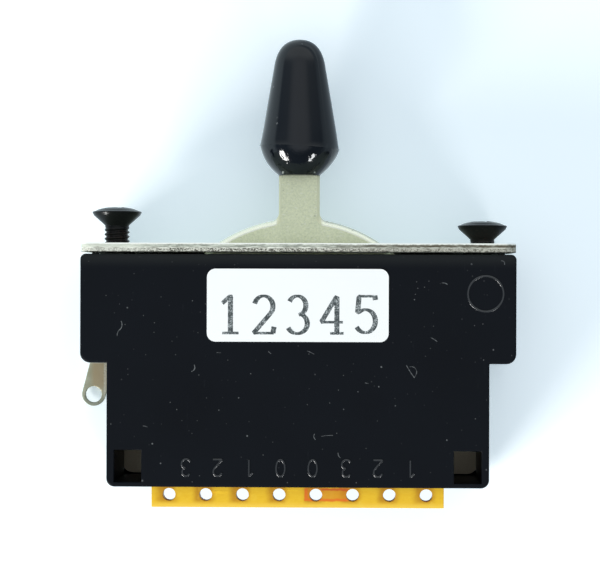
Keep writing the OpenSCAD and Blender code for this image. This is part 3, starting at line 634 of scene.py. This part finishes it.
def tip_surface():
    """Lever tip: a profile of radius against height turned about the lever's axis.

    From the roof of the tang's slot, whose rim at a bearing b is a rectangle with the least of half_a/|cos b|
    and half_b/|sin b| as its radius, down the slot, out along the foot, up the bowl, over the parting ridge,
    up the tapered body and over the dome to its top. The ridge stands out by cos b to the 14th, as two nibs
    at the sides, and the belly slants by cos b times a bell curve of height about it.
    """
    half_a, half_b, slot_top = 1.75, 0.65, 9.05
    ridge_half = 0.06
    corner = math.atan2(half_b, half_a)
    turns = [-corner, corner, math.pi - corner, math.pi + corner, 2 * math.pi - corner]
    bearing = np.concatenate([np.linspace(a, b, n, endpoint=False)
                              for a, b, n in zip(turns, turns[1:], (14, 42, 14, 42))])[None, :]
    slot = np.minimum(half_a / np.abs(np.cos(bearing)), half_b / np.maximum(np.abs(np.sin(bearing)), 1e-9))
    shoulder, top = TIP_H / MM - TIP_DOME_H, TIP_H / MM
    foot = np.array([[TIP_FOOT_R - 0.25, 0.0], [TIP_FOOT_R - 0.11, 0.03]])
    bowl = bezier((TIP_FOOT_R, 0.15), (TIP_BELLY_R - 0.4, 0.45 * TIP_BELLY_H),
                  (TIP_BELLY_R, TIP_BELLY_H - ridge_half), 24)
    waist = ((TIP_BELLY_R + TIP_DOME_R) / 2 + 0.02, (TIP_BELLY_H + shoulder) / 2)
    body = bezier((TIP_BELLY_R, TIP_BELLY_H + ridge_half), waist, (TIP_DOME_R, shoulder), 18)
    dome = bezier((TIP_DOME_R, shoulder), (0.81 * TIP_DOME_R, top), (0.0, top), 26)[1:]
    rise = np.array([[-0.04], [-0.02], [0.0], [0.02], [0.04]])
    nib = (0.02 + 0.09 * np.cos(bearing) ** 14) * (1 - np.abs(rise) / ridge_half)
    rounds = np.ones_like(bearing)
    lower, upper = np.concatenate([foot, bowl]), np.concatenate([body, dome])
    radius = np.concatenate([slot * 0, slot, slot, lower[:, :1] * rounds,
                             TIP_BELLY_R + nib, upper[:, :1] * rounds])
    height = np.concatenate([[[slot_top], [slot_top], [0.0]], lower[:, 1:],
                             TIP_BELLY_H + rise, upper[:, 1:]])
    slant = -0.26 * np.cos(bearing) * np.exp(-((height - TIP_BELLY_H) / 1.2) ** 2)
    slant[:3] = 0
    points = turned(radius, height + slant, bearing) * MM
    points[..., 2] += SHOULDER_Z
    return grid_mesh("lever_tip_moulding", points)


def screw_surface(name, node):
    """Raised countersunk machine screw turned about its axis: end, helical thread, cone, lip and crown.

    The thread's radius is its root plus its depth times a blunted triangle wave of height over pitch less
    bearing over a full turn; it fades in at the end and runs out below the cone. The lip is a slanting band
    and a roll, both quadratic curves. The crown sinks by the cross recess: on each of two crossed arms the
    least of the steep side wall and the slanting end wall, down to the floor.
    """
    low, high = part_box(node)
    centre = (low + high) / 2 / MM
    crown_h, lip, length, pitch = 0.6, 0.12, 10.0, 0.5
    head_r, neck_r, root_r, crest_r = 2.75, 1.36, 1.23, 1.42
    lead_in, run_out, arm_half_w, arm_half_len, recess_depth = 0.5, 0.45, 0.36, 1.55, 1.25
    cone_foot = -lip - (head_r - neck_r)
    thread_foot, thread_top = -length + 0.5, cone_foot - 0.1
    bearing = np.linspace(0, 2 * math.pi, 112, endpoint=False)[None, :]
    level = np.linspace(thread_foot, thread_top, 210)[:, None]
    phase = level / pitch - bearing / (2 * math.pi)
    wave = np.clip(1.7 * (1 - np.abs(2 * (phase % 1) - 1)) - 0.35, 0, 1)
    ending = np.clip((thread_top - level) / run_out, 0, 1)
    fade = np.clip((level - thread_foot) / lead_in, 0, 1) * ending
    thread = root_r + (crest_r - root_r) * wave * fade + (neck_r - root_r) * (1 - ending)
    start = np.array([[0.0, -length], [0.8, -length], [0.95, -length + 0.06]])
    flank = np.array([[neck_r, cone_foot], [neck_r + 0.03, cone_foot + 0.06]])
    band = bezier((head_r - 0.14, -lip - 0.24), (head_r - 0.03, -0.14), (head_r + 0.03, -0.02), 7)
    rolled = bezier((head_r + 0.03, -0.02), (head_r + 0.06, 0.09), (head_r - 0.3, 0.16), 9)[1:]
    cone = np.concatenate([flank, band, rolled])
    crown = bezier((head_r - 0.34, 0.175), (head_r * 0.6, crown_h), (0.0, crown_h), 56)
    rounds = np.ones_like(bearing)
    radius = np.concatenate([start[:, :1] * rounds, thread, cone[:, :1] * rounds, crown[:, :1] * rounds])
    height = np.concatenate([start[:, 1:] * rounds, level * rounds,
                             cone[:, 1:] * rounds, crown[:, 1:] * rounds])
    turn = bearing - math.radians(30)
    across = [np.abs(crown[:, :1] * np.cos(turn)), np.abs(crown[:, :1] * np.sin(turn))]
    arms = [np.minimum((arm_half_w - side) * 7, (arm_half_len - run) * 1.7)
            for run, side in (across, across[::-1])]
    height[-len(crown):] -= np.clip(np.maximum(*arms), 0, recess_depth)
    points = turned(radius, height, bearing)
    points += np.array([centre.x, centre.y, high.z / MM - crown_h])
    return grid_mesh(name, points * MM)


def lever_reach(bearing, inset):
    """Reach of the lever from its pivot at each bearing from straight up: the farthest of its parts.

    A sector of the closing arc, the blade and the narrower tang (rectangles: half width over |sin|, height
    over cos), the fillets between blade and arc (near side of a circle), the hub and the round-ended tail.
    The rim of arc, fillets and blade lies `inset` further in, half as much on the blade's sides.
    """
    arc_half = math.radians(ARC_HALF_DEG)
    sine, cosine = np.maximum(np.abs(np.sin(bearing)), 1e-9), np.cos(bearing)
    up = np.where(cosine > 1e-6, cosine, 1e-6)
    down = np.where(cosine < -1e-6, -cosine, 1e-6)
    wrapped = np.abs((bearing + math.pi) % (2 * math.pi) - math.pi)
    arc_r = np.where(wrapped <= arc_half, ARC_R - inset, 0)
    half = BLADE_HALF - inset / 2
    blade = np.where(cosine > 0, np.minimum(half / sine, SHOULDER_REACH / up), 0)
    tang = np.where(cosine > 0, np.minimum(TANG_HALF / sine, (SHOULDER_REACH + TANG_LEN) / up), 0)
    cx = BLADE_HALF + BLADE_FILLET
    cz = math.sqrt((ARC_R + BLADE_FILLET) ** 2 - cx ** 2)
    nearest = cx * sine + cz * cosine
    gap = (BLADE_FILLET + inset) ** 2 - (cx ** 2 + cz ** 2 - nearest ** 2)
    beside = (wrapped <= math.atan2(cx, cz)) & (gap >= 0) & (cosine > 0)
    corner = np.where(beside, nearest - np.sqrt(np.maximum(gap, 0)), 0)
    corner = np.where(corner * sine >= half - 1e-6, corner, 0)
    tail = np.where(cosine < 0, np.minimum(TAIL_HALF / sine, TAIL_HOLE_AT / down), 0)
    bend = TAIL_HALF ** 2 - (TAIL_HOLE_AT * sine) ** 2
    end = np.where((cosine < 0) & (bend >= 0), TAIL_HOLE_AT * down + np.sqrt(np.maximum(bend, 0)), 0)
    return np.max([arc_r, blade, tang, corner, np.full_like(sine, HUB_R), tail, end], axis=0)


def lever_surface():
    """Stamped lever as one closed grid: bearings round the pivot by rows round the sheet's section.

    The section runs from the bore's edge over the front face, down a wide rolled rim, through the sheared
    wall, round a small burr edge and back over the rear face to the bore. Each row is the lever's reach at
    every bearing, drawn in by the row's inset, at the row's own depth.
    """
    rolled = [[0.62, -LEVER_HALF_T], [0.54, -0.59], [0.42, -0.545], [0.28, -0.46],
              [0.14, -0.355], [0.04, -0.25]]
    sheared = [[0.0, -0.15], [0.0, 0.48], [0.03, 0.56], [0.09, LEVER_HALF_T]]
    section = np.array(rolled + sheared)
    half = BLADE_HALF - np.unique(section[:, 0]) / 2
    arc_end = math.radians(ARC_HALF_DEG)
    marks = np.concatenate([
        np.arctan2(half, SHOULDER_REACH), np.arctan2(half, ARC_R),
        [math.atan2(TANG_HALF, SHOULDER_REACH + TANG_LEN), math.atan2(TANG_HALF, SHOULDER_REACH)],
        [arc_end, arc_end + 1e-4]])
    bearing = np.concatenate([np.linspace(0, math.pi, 240), np.linspace(0, math.radians(15), 110), marks])
    bearing = np.unique(np.concatenate([bearing, -bearing]).round(6))[1:]
    rim = np.stack([lever_reach(bearing, inset) for inset in section[:, 0]])
    bore = np.full((1, len(bearing)), BORE_R)
    reach = np.concatenate([bore, rim, bore])
    depth = np.concatenate([[-LEVER_HALF_T], section[:, 1], [LEVER_HALF_T]])[:, None] * np.ones_like(reach)
    points = np.stack([reach * np.sin(bearing), depth, reach * np.cos(bearing)], axis=-1) * MM
    points[..., 2] += PIVOT_Z
    return grid_mesh("lever_blade", points, ring_rows=True)


def bored(mesh, name, centre, radius):
    """The lever's mesh with a round hole along Y cut through it by a Boolean of a closed grid cylinder."""
    bearing = np.linspace(0, 2 * math.pi, 64, endpoint=False)[None, :]
    past = 2.5 * LEVER_HALF_T
    outline = np.array([[0.0, -past], [radius, -past], [radius, past], [0.0, past]])
    around = turned(outline[:, :1], outline[:, 1:], bearing)
    points = np.stack([around[..., 0] + centre[0], around[..., 2], around[..., 1] + centre[1]], axis=-1) * MM
    cutter = bpy.data.objects.new(name + "_cutter", grid_mesh(name + "_cutter", points))
    blank = bpy.data.objects.new(name + "_blank", mesh)
    for made in (cutter, blank):
        scene.collection.objects.link(made)
    cut = blank.modifiers.new("bore", "BOOLEAN")
    cut.object = cutter
    cut.solver = "EXACT"
    whole = bpy.data.meshes.new_from_object(blank.evaluated_get(bpy.context.evaluated_depsgraph_get()))
    for made in (cutter, blank):
        bpy.data.objects.remove(made)
    return whole


def arc(cx, cz, rx, rz, start, end, count=18):
    """Points (cx + rx cos t, cz + rz sin t) of an ellipse, for t from `start` to `end` in degrees."""
    t = np.radians(np.linspace(start, end, count))
    return np.stack([cx + rx * np.cos(t), cz + rz * np.sin(t)], axis=-1)


def line(*corners):
    """Straight run through corners."""
    return np.array(corners, float)


# Pen strokes of the plain numerals, in a box 0.6 wide and 1 high, and the feet that only print has
NUMERALS = {
    "0": [arc(0.3, 0.5, 0.26, 0.5, 90, 450, 40)],
    "1": [line((0.1, 0.8), (0.32, 1.0), (0.32, 0.0))],
    "2": [np.concatenate([arc(0.3, 0.72, 0.25, 0.28, 165, -35, 22), line((0.03, 0.0), (0.57, 0.0))])],
    "3": [arc(0.29, 0.745, 0.23, 0.255, 155, -80, 22), arc(0.29, 0.26, 0.27, 0.27, 80, -155, 24)],
    "4": [line((0.44, 0.0), (0.44, 1.0), (0.02, 0.3), (0.6, 0.3))],
    "5": [np.concatenate([line((0.53, 1.0), (0.12, 1.0), (0.08, 0.54)),
                          arc(0.29, 0.33, 0.27, 0.31, 120, -150, 26)])],
}
PRINT_FEET = {"1": [line((0.1, 0.0), (0.54, 0.0))], "4": [line((0.26, 0.0), (0.62, 0.0))],
              "2": [line((0.55, 0.0), (0.58, 0.17))], "5": [line((0.54, 1.02), (0.56, 0.9))]}


def ribbon(path, section, thin, lift):
    """Grid of points along a path in X and Z with a section of (across, proud) carried along it.

    At each point the section is laid across the path's tangent, which is the difference of its neighbours:
    in full width where the path runs up or down, and `thin` times as wide where it runs level. `proud`
    stands out of the front towards -Y, and rises by `lift` along the path so that crossings don't coincide.
    """
    tangent = np.gradient(path, axis=0)
    tangent /= np.linalg.norm(tangent, axis=1, keepdims=True)
    across = np.stack([-tangent[:, 1], tangent[:, 0]], axis=-1)
    width = thin + (1 - thin) * np.abs(tangent[:, 1:])
    flat = path[:, None] + section[None, :, :1] * (width * across)[:, None]
    proud = section[None, :, 1] + lift * np.linspace(0, 1, len(path))[:, None] * (section[None, :, 1] > 0)
    return np.stack([flat[..., 0], -proud, flat[..., 1]], axis=-1)


def numerals(name, marks, height, section, y, feet=None, thin=1.0, lift=0.0, upside_down=False):
    """One mesh of numerals: each pen stroke is a ribbon closed at its ends by a flat cap.

    `marks` are pairs of numeral and its middle in X and Z, in millimetres.
    """
    whole = bmesh.new()
    for numeral, middle in marks:
        for order, pen in enumerate(NUMERALS[numeral] + (feet or {}).get(numeral, [])):
            steps = np.concatenate([[0], np.cumsum(np.hypot(*np.diff(pen, axis=0).T))])
            even = np.linspace(0, steps[-1], 48)
            path = np.stack([np.interp(even, steps, pen[:, axis]) for axis in (0, 1)], axis=-1)
            path = (path - np.array([0.3, 0.5])) * height
            path = (-path if upside_down else path) + np.array(middle)
            stacked = section + np.array([0.0, lift * order]) * (section[:, 1:] > 0)
            points = ribbon(path, stacked, thin, lift)
            closed = np.concatenate([points[:1].mean(1, keepdims=True) + 0 * points[:1], points,
                                     points[-1:].mean(1, keepdims=True) + 0 * points[-1:]])
            stroke_mesh = grid_mesh("pen", closed * MM)
            whole.from_mesh(stroke_mesh)
            bpy.data.meshes.remove(stroke_mesh)
    mesh = bpy.data.meshes.new(name)
    whole.to_mesh(mesh)
    whole.free()
    mesh.transform(Matrix.Translation((0, y, 0)))
    return mesh


def ring_mark(centre, radius, half_w, proud):
    """Flat-bottomed ring on the front face: a half-round section carried round a circle in X and Z."""
    bearing = np.linspace(0, 2 * math.pi, 120, endpoint=False)[None, :]
    roll = np.linspace(0, math.pi, 9)[:, None]
    reach = np.concatenate([radius + half_w * np.cos(roll), [[radius - half_w], [radius + half_w]]])
    stand = np.concatenate([proud * np.sin(roll), [[-0.05], [-0.05]]])
    points = turned(reach, -stand, bearing)
    points = points[..., [0, 2, 1]] + np.array([centre[0], FRONT_Y / MM, centre[1]])
    return grid_mesh("ring_mark", points * MM, ring_rows=True)


# Pieces

plated = sheared_nickel()
lever_face = nickel("lever_plate", paint(251, 252, 215), paint(231, 234, 197), (0.65, 0.65), 0.8, 0.44)
# The rim's finish: a lighter copy of the lever's nickel, a painted highlight along the rolled edge
painted_highlight_rim = nickel("painted_highlight_rim", paint(255, 255, 238), paint(254, 253, 230), (0.85, 0.05), 0.2, 0.28)
moulding = black_moulding()
bright = turned_metal("bright_steel", paint(206, 208, 206), paint(170, 172, 172), 0.26)
springy = turned_metal("bronze", paint(214, 160, 96), paint(182, 126, 70), 0.3)
dark = turned_metal("dark_steel", paint(92, 92, 94), paint(60, 60, 62), 0.35)
nylon = plain_nylon()
tag = tinned_brass()
copper = tinned_copper()
oxide = black_oxide()

piece("folded_frame", merged_copy("mounting_frame", 0.1 * MM), "base",
      [plated], ["mounting_frame"])
piece("solder_tag", merged_copy("ground_lug", 0.09 * MM), "base", [tag], ["ground_lug"])
piece("tag_rivet", merged_copy("lug_rivet", 0.07 * MM), "base", [tag], ["lug_rivet"])
piece("turned_stud", merged_copy("pivot_stud", 0.06 * MM), "base", [bright], ["pivot_stud"])
piece("box_housing", merged_copy("housing", 0.06 * MM, lambda c: c.y < 4 * MM), "base",
      [moulding], ["housing"], sharp_deg=50)
piece("terminal_board", merged_copy("contact_board", 0.04 * MM), "base",
      [amber_laminate()], ["contact_board"])
piece("smooth_ball", merged_copy("detent_ball"), "ball", [bright], ["detent_ball"])
piece("coil_spring", merged_copy("detent_spring"), "lever_arm", [bright], ["detent_spring"],
      sharp_deg=60)
lever_mesh = bored(lever_surface(), "lever_blade", (0.0, PIVOT_Z / MM - TAIL_HOLE_AT), TAIL_HOLE_R)
rim_front, rim_back = -0.599 * MM, -0.16 * MM
mark_faces(lever_mesh, lambda centre: (centre[:, 1] > rim_front) & (centre[:, 1] < rim_back))
piece("lever_blade", lever_mesh, "lever_arm", [lever_face, painted_highlight_rim], ["lever"])
piece("lever_tip_moulding", tip_surface(), "lever_arm", [gloss_tip()], ["lever_tip"],
      weighted=False)
for side in ("left", "right"):
    piece(f"{side}_machine_screw", screw_surface(f"{side}_machine_screw", f"{side}_screw"), "base",
          [oxide], [f"{side}_screw"], weighted=False)

carried_over = {
    "label": white_film(), "contact_carrier": nylon, "rear_washer": nylon, "front_washer": nylon,
    "retaining_clip": dark, "left_wiper": springy, "right_wiper": springy, "left_tracks": copper,
    "right_tracks": copper,
}
for node, finish in carried_over.items():
    made = frame["nodes"][node]
    made.data.materials.clear()
    made.data.materials.append(finish)

# Numerals moulded along the housing's foot and printed on the label, in millimetres
TERMINAL_MARKS = [("3", -12.3), ("2", -8.8), ("1", -5.3), ("0", -1.85), ("0", 1.7), ("3", 5.4), ("2", 8.9),
                  ("1", 12.5)]
TERMINAL_MARKS_Z = -24.85
TERMINAL_MARKS_H = 1.85
POSITION_PITCH = 3.75
POSITION_Z = -7.9
POSITION_H = 4.1
# Sections of a moulded and of a printed stroke, as across and proud, in millimetres
bead = np.array([[0.125, -0.04], [0.12, 0.01], [0.095, 0.045], [0.052, 0.068], [0.0, 0.075],
                 [-0.052, 0.068], [-0.095, 0.045], [-0.12, 0.01], [-0.125, -0.04]])
print_section = np.array([[0.29, -0.02], [0.28, 0.004], [-0.28, 0.004], [-0.29, -0.02]])
terminal_marks = [(numeral, (x, TERMINAL_MARKS_Z)) for numeral, x in TERMINAL_MARKS]
terminal_numbers = numerals("terminal_numbers", terminal_marks, TERMINAL_MARKS_H, bead, FRONT_Y,
                            upside_down=True)
relief = black_relief()
piece("terminal_numbers", terminal_numbers, "base", [relief], weighted=False)
plain_ring = ring_mark(centre=(20.7, -5.55), radius=1.95, half_w=0.13, proud=0.07)
piece("ring_mark", plain_ring, "base", [relief], weighted=False)
position_marks = [(str(i), (POSITION_PITCH * (i - 3), POSITION_Z)) for i in range(1, 6)]
position_numbers = numerals("position_numbers", position_marks, POSITION_H, print_section,
                            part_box("label")[0].y, feet=PRINT_FEET, thin=0.5, lift=0.004)
piece("position_numbers", position_numbers, "base", [ribbon_ink()], weighted=False)


# Paper, lamps and camera

def paper_sheet(y, half, rear_left, rear_right):
    """Flat sheet behind the part, facing the camera; seen only from its front, and brighter than it is lit.

    Mirrored in the part it glows as a painted reflection, `rear_left`, and as painted shade `rear_right` on
    the right, apart from a level strip, painted lit, and what is far up but not far out.
    """
    x, z = np.meshgrid(np.linspace(-half, half, 3), np.linspace(-half, half, 3))
    points = np.stack([x, np.full_like(x, y), z], axis=-1).reshape(-1, 3)
    first = np.array([0, 1, 3, 4])[:, None]
    faces = first + np.array([0, 1, 4, 3])[None, :]
    mesh = bpy.data.meshes.new("paper")
    mesh.from_pydata(points, [], faces.tolist())
    made = bpy.data.objects.new("paper", mesh)
    scene.collection.objects.link(made)
    f = Finish("paper", Roughness=0.8, Specular_IOR_Level=0.1, Emission_Strength=1.0)
    mottle = f.noise(f.place, 40 * MM)
    f.feed(Base_Color=f.mix(mottle, paint(243, 248, 250), paint(249, 252, 253)))
    path = {ray: f.add("ShaderNodeLightPath", None, (), out=f"Is {ray} Ray")
            for ray in ("Camera", "Glossy", "Transmission")}
    f.feed(Emission_Color=f.mix(path["Camera"], (0, 0, 0, 1), (0.23, 0.29, 0.33, 1)))
    light, dim = (f.add("ShaderNodeEmission", None, {"Color": colour}) for colour in (rear_left, rear_right))
    # Painted reflection: painted shade towards the right of the sheet, and a painted lit strip level with the
    # part
    far_right = f.x.ramp(60 * MM, 140 * MM)
    on_right = f.x.ramp(-4 * MM, 4 * MM) * f.z.ramp(60 * MM, 30 * MM).most(far_right)
    lit_strip = abs(f.z - 6.5 * MM).ramp(4 * MM, 2 * MM)
    painted_reflection = f.add("ShaderNodeMixShader", None, [on_right * (1 - lit_strip), light, dim])
    mirrored = path["Glossy"].most(path["Transmission"])
    behind = f.add("ShaderNodeNewGeometry", None, (), out="Backfacing")
    clear = f.add("ShaderNodeBsdfTransparent")
    skin = Value(f, f.skin.outputs[0])
    lit = f.add("ShaderNodeMixShader", None, [mirrored, skin, painted_reflection])
    shown = f.add("ShaderNodeMixShader", None, [behind, lit, clear])
    f.tree.links.new(shown.socket, f.tree.nodes["Material Output"].inputs["Surface"])
    mesh.materials.append(f.material)
    made.visible_shadow = False
    made.visible_diffuse = False


def studio_world(front, flank, above, below, rear_left, rear_right):
    """Soft surround: `front` on the camera's side, `flank`, `above` and `below` round it, the rear beyond."""
    world = bpy.data.worlds.new("studio")
    world.use_nodes = True
    scene.world = world
    n = Nodes(world.node_tree)
    side, depth, height = n.split(n.add("ShaderNodeTexCoord", None, (), out="Generated"))
    round_it = n.mix(height.ramp(0.25, 0.7), flank, above)
    round_it = n.mix(height.ramp(-0.1, -0.8), round_it, below)
    shade = n.mix(depth.ramp(-0.9, -0.66), front, round_it)
    shade = n.mix(depth.ramp(-0.28, -0.08), shade, n.mix(side.ramp(-0.3, 0.3), rear_left, rear_right))
    n.tree.links.new(shade.socket, n.tree.nodes["Background"].inputs["Color"])


def lamp(name, direction, distance, size, watts, colour):
    """Soft lamp of a width and height at a distance along a direction, turned to the part."""
    data = bpy.data.lights.new(name, "AREA")
    data.energy = watts
    data.shape = "RECTANGLE"
    data.size, data.size_y = size
    data.color = colour
    made = bpy.data.objects.new(name, data)
    made.location = Vector(direction).normalized() * distance
    made.rotation_euler = (-made.location).to_track_quat("-Z", "Y").to_euler()
    scene.collection.objects.link(made)


def photo_camera(eye, target, focal_px, roll_deg):
    """Camera at `eye` looking at `target`, rolled `roll_deg` about its own axis; lengths in millimetres."""
    data = bpy.data.cameras.new("camera")
    data.sensor_width = SENSOR_MM
    data.lens = focal_px / PICTURE_W * SENSOR_MM
    data.clip_start = 0.01
    made = bpy.data.objects.new("camera", data)
    eye, target = Vector(eye) * MM, Vector(target) * MM
    roll = Matrix.Rotation(math.radians(roll_deg), 3, "Z")
    turn = (target - eye).to_track_quat("-Z", "Y").to_matrix() @ roll
    made.matrix_world = Matrix.Translation(eye) @ turn.to_4x4()
    scene.collection.objects.link(made)
    scene.camera = made


PAPER_GAP = 0.1 * MM
REAR_LEFT = (0.74, 0.88, 0.95, 1)
REAR_RIGHT = (0.4, 0.49, 0.56, 1)
paper_sheet(y=cad_box[1][1] + PAPER_GAP, half=0.5, rear_left=REAR_LEFT, rear_right=REAR_RIGHT)
studio_world(front=(0.69, 0.74, 0.79, 1), flank=(0.17, 0.22, 0.27, 1), above=(0.92, 1.0, 1.04, 1),
             below=(0.12, 0.14, 0.15, 1), rear_left=REAR_LEFT, rear_right=REAR_RIGHT)
lamp("key_lamp", direction=(-0.66, -0.34, -0.68), distance=0.5, size=(0.1, 0.24), watts=2.8,
     colour=(1.0, 0.99, 0.97))
lamp("fill_lamp", direction=(0.51, -0.34, -0.8), distance=0.5, size=(0.065, 0.17), watts=0.8,
     colour=(0.97, 0.99, 1.0))
photo_camera(eye=(5.915, -239.0, -4.52), target=(0.245, -6.0, -4.52), focal_px=2114, roll_deg=0.17)

bpy.context.view_layer.update()
